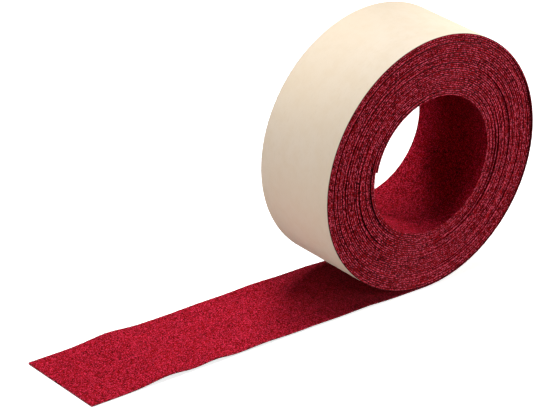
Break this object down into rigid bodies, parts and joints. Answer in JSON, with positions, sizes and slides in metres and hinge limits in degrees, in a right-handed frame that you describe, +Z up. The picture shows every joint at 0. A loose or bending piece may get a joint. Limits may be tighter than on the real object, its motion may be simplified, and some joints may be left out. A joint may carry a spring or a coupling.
{
  "type": "grip tape roll",
  "caption": "Coreless roll of self-adhesive grip tape, wound face inward on its release liner, with a flat free tail and a liner end that peels.",
  "frame": {"origin": "centre of the roll's bore, midway across the width of the tape", "axes": "+Y along the bore, -X along the free tail, +Z up from the surface the roll stands on"},
  "size_m": [0.1356, 0.025, 0.0672],
  "materials": {
    "facing": "napped red grip fabric, finely speckled",
    "adhesive": "clear pressure-sensitive adhesive coat",
    "liner": "smooth silicone-coated cream release paper"
  },
  "bodies": {
    "roll": {"wound_facing": "facing", "wound_adhesive": "adhesive", "wound_liner": "liner"},
    "tail_1": {"tail_facing_1": "facing", "tail_adhesive_1": "adhesive", "tail_liner_1": "liner"},
    "tail_2": {"tail_facing_2": "facing", "tail_adhesive_2": "adhesive", "tail_liner_2": "liner"},
    "tail_3": {"tail_facing_3": "facing", "tail_adhesive_3": "adhesive", "tail_liner_3": "liner"},
    "tail_4": {"tail_facing_4": "facing", "tail_adhesive_4": "adhesive", "tail_liner_4": "liner"},
    "liner_end": {"liner_peel_end": "liner"}
  },
  "joints": [
    {"name": "tail_bend_1", "type": "hinge", "parent": "roll", "child": "tail_1", "pos_m": [-0.012, 0, -0.03332], "axis": [0, 1, 0], "range_deg": [-45, 37], "stiffness_Nm_per_rad": 0.003},
    {"name": "tail_bend_2", "type": "hinge", "parent": "tail_1", "child": "tail_2", "pos_m": [-0.0345, 0, -0.03332], "axis": [0, 1, 0], "range_deg": [-45, 34], "stiffness_Nm_per_rad": 0.003},
    {"name": "tail_bend_3", "type": "hinge", "parent": "tail_2", "child": "tail_3", "pos_m": [-0.057, 0, -0.03332], "axis": [0, 1, 0], "range_deg": [-45, 37], "stiffness_Nm_per_rad": 0.003},
    {"name": "tail_bend_4", "type": "hinge", "parent": "tail_3", "child": "tail_4", "pos_m": [-0.0795, 0, -0.03332], "axis": [0, 1, 0], "range_deg": [-45, 34], "stiffness_Nm_per_rad": 0.003},
    {"name": "liner_peel", "type": "hinge", "parent": "tail_4", "child": "liner_end", "pos_m": [-0.09075, 0, -0.03356], "axis": [0, -1, 0], "range_deg": [0, 150]}
  ]
}
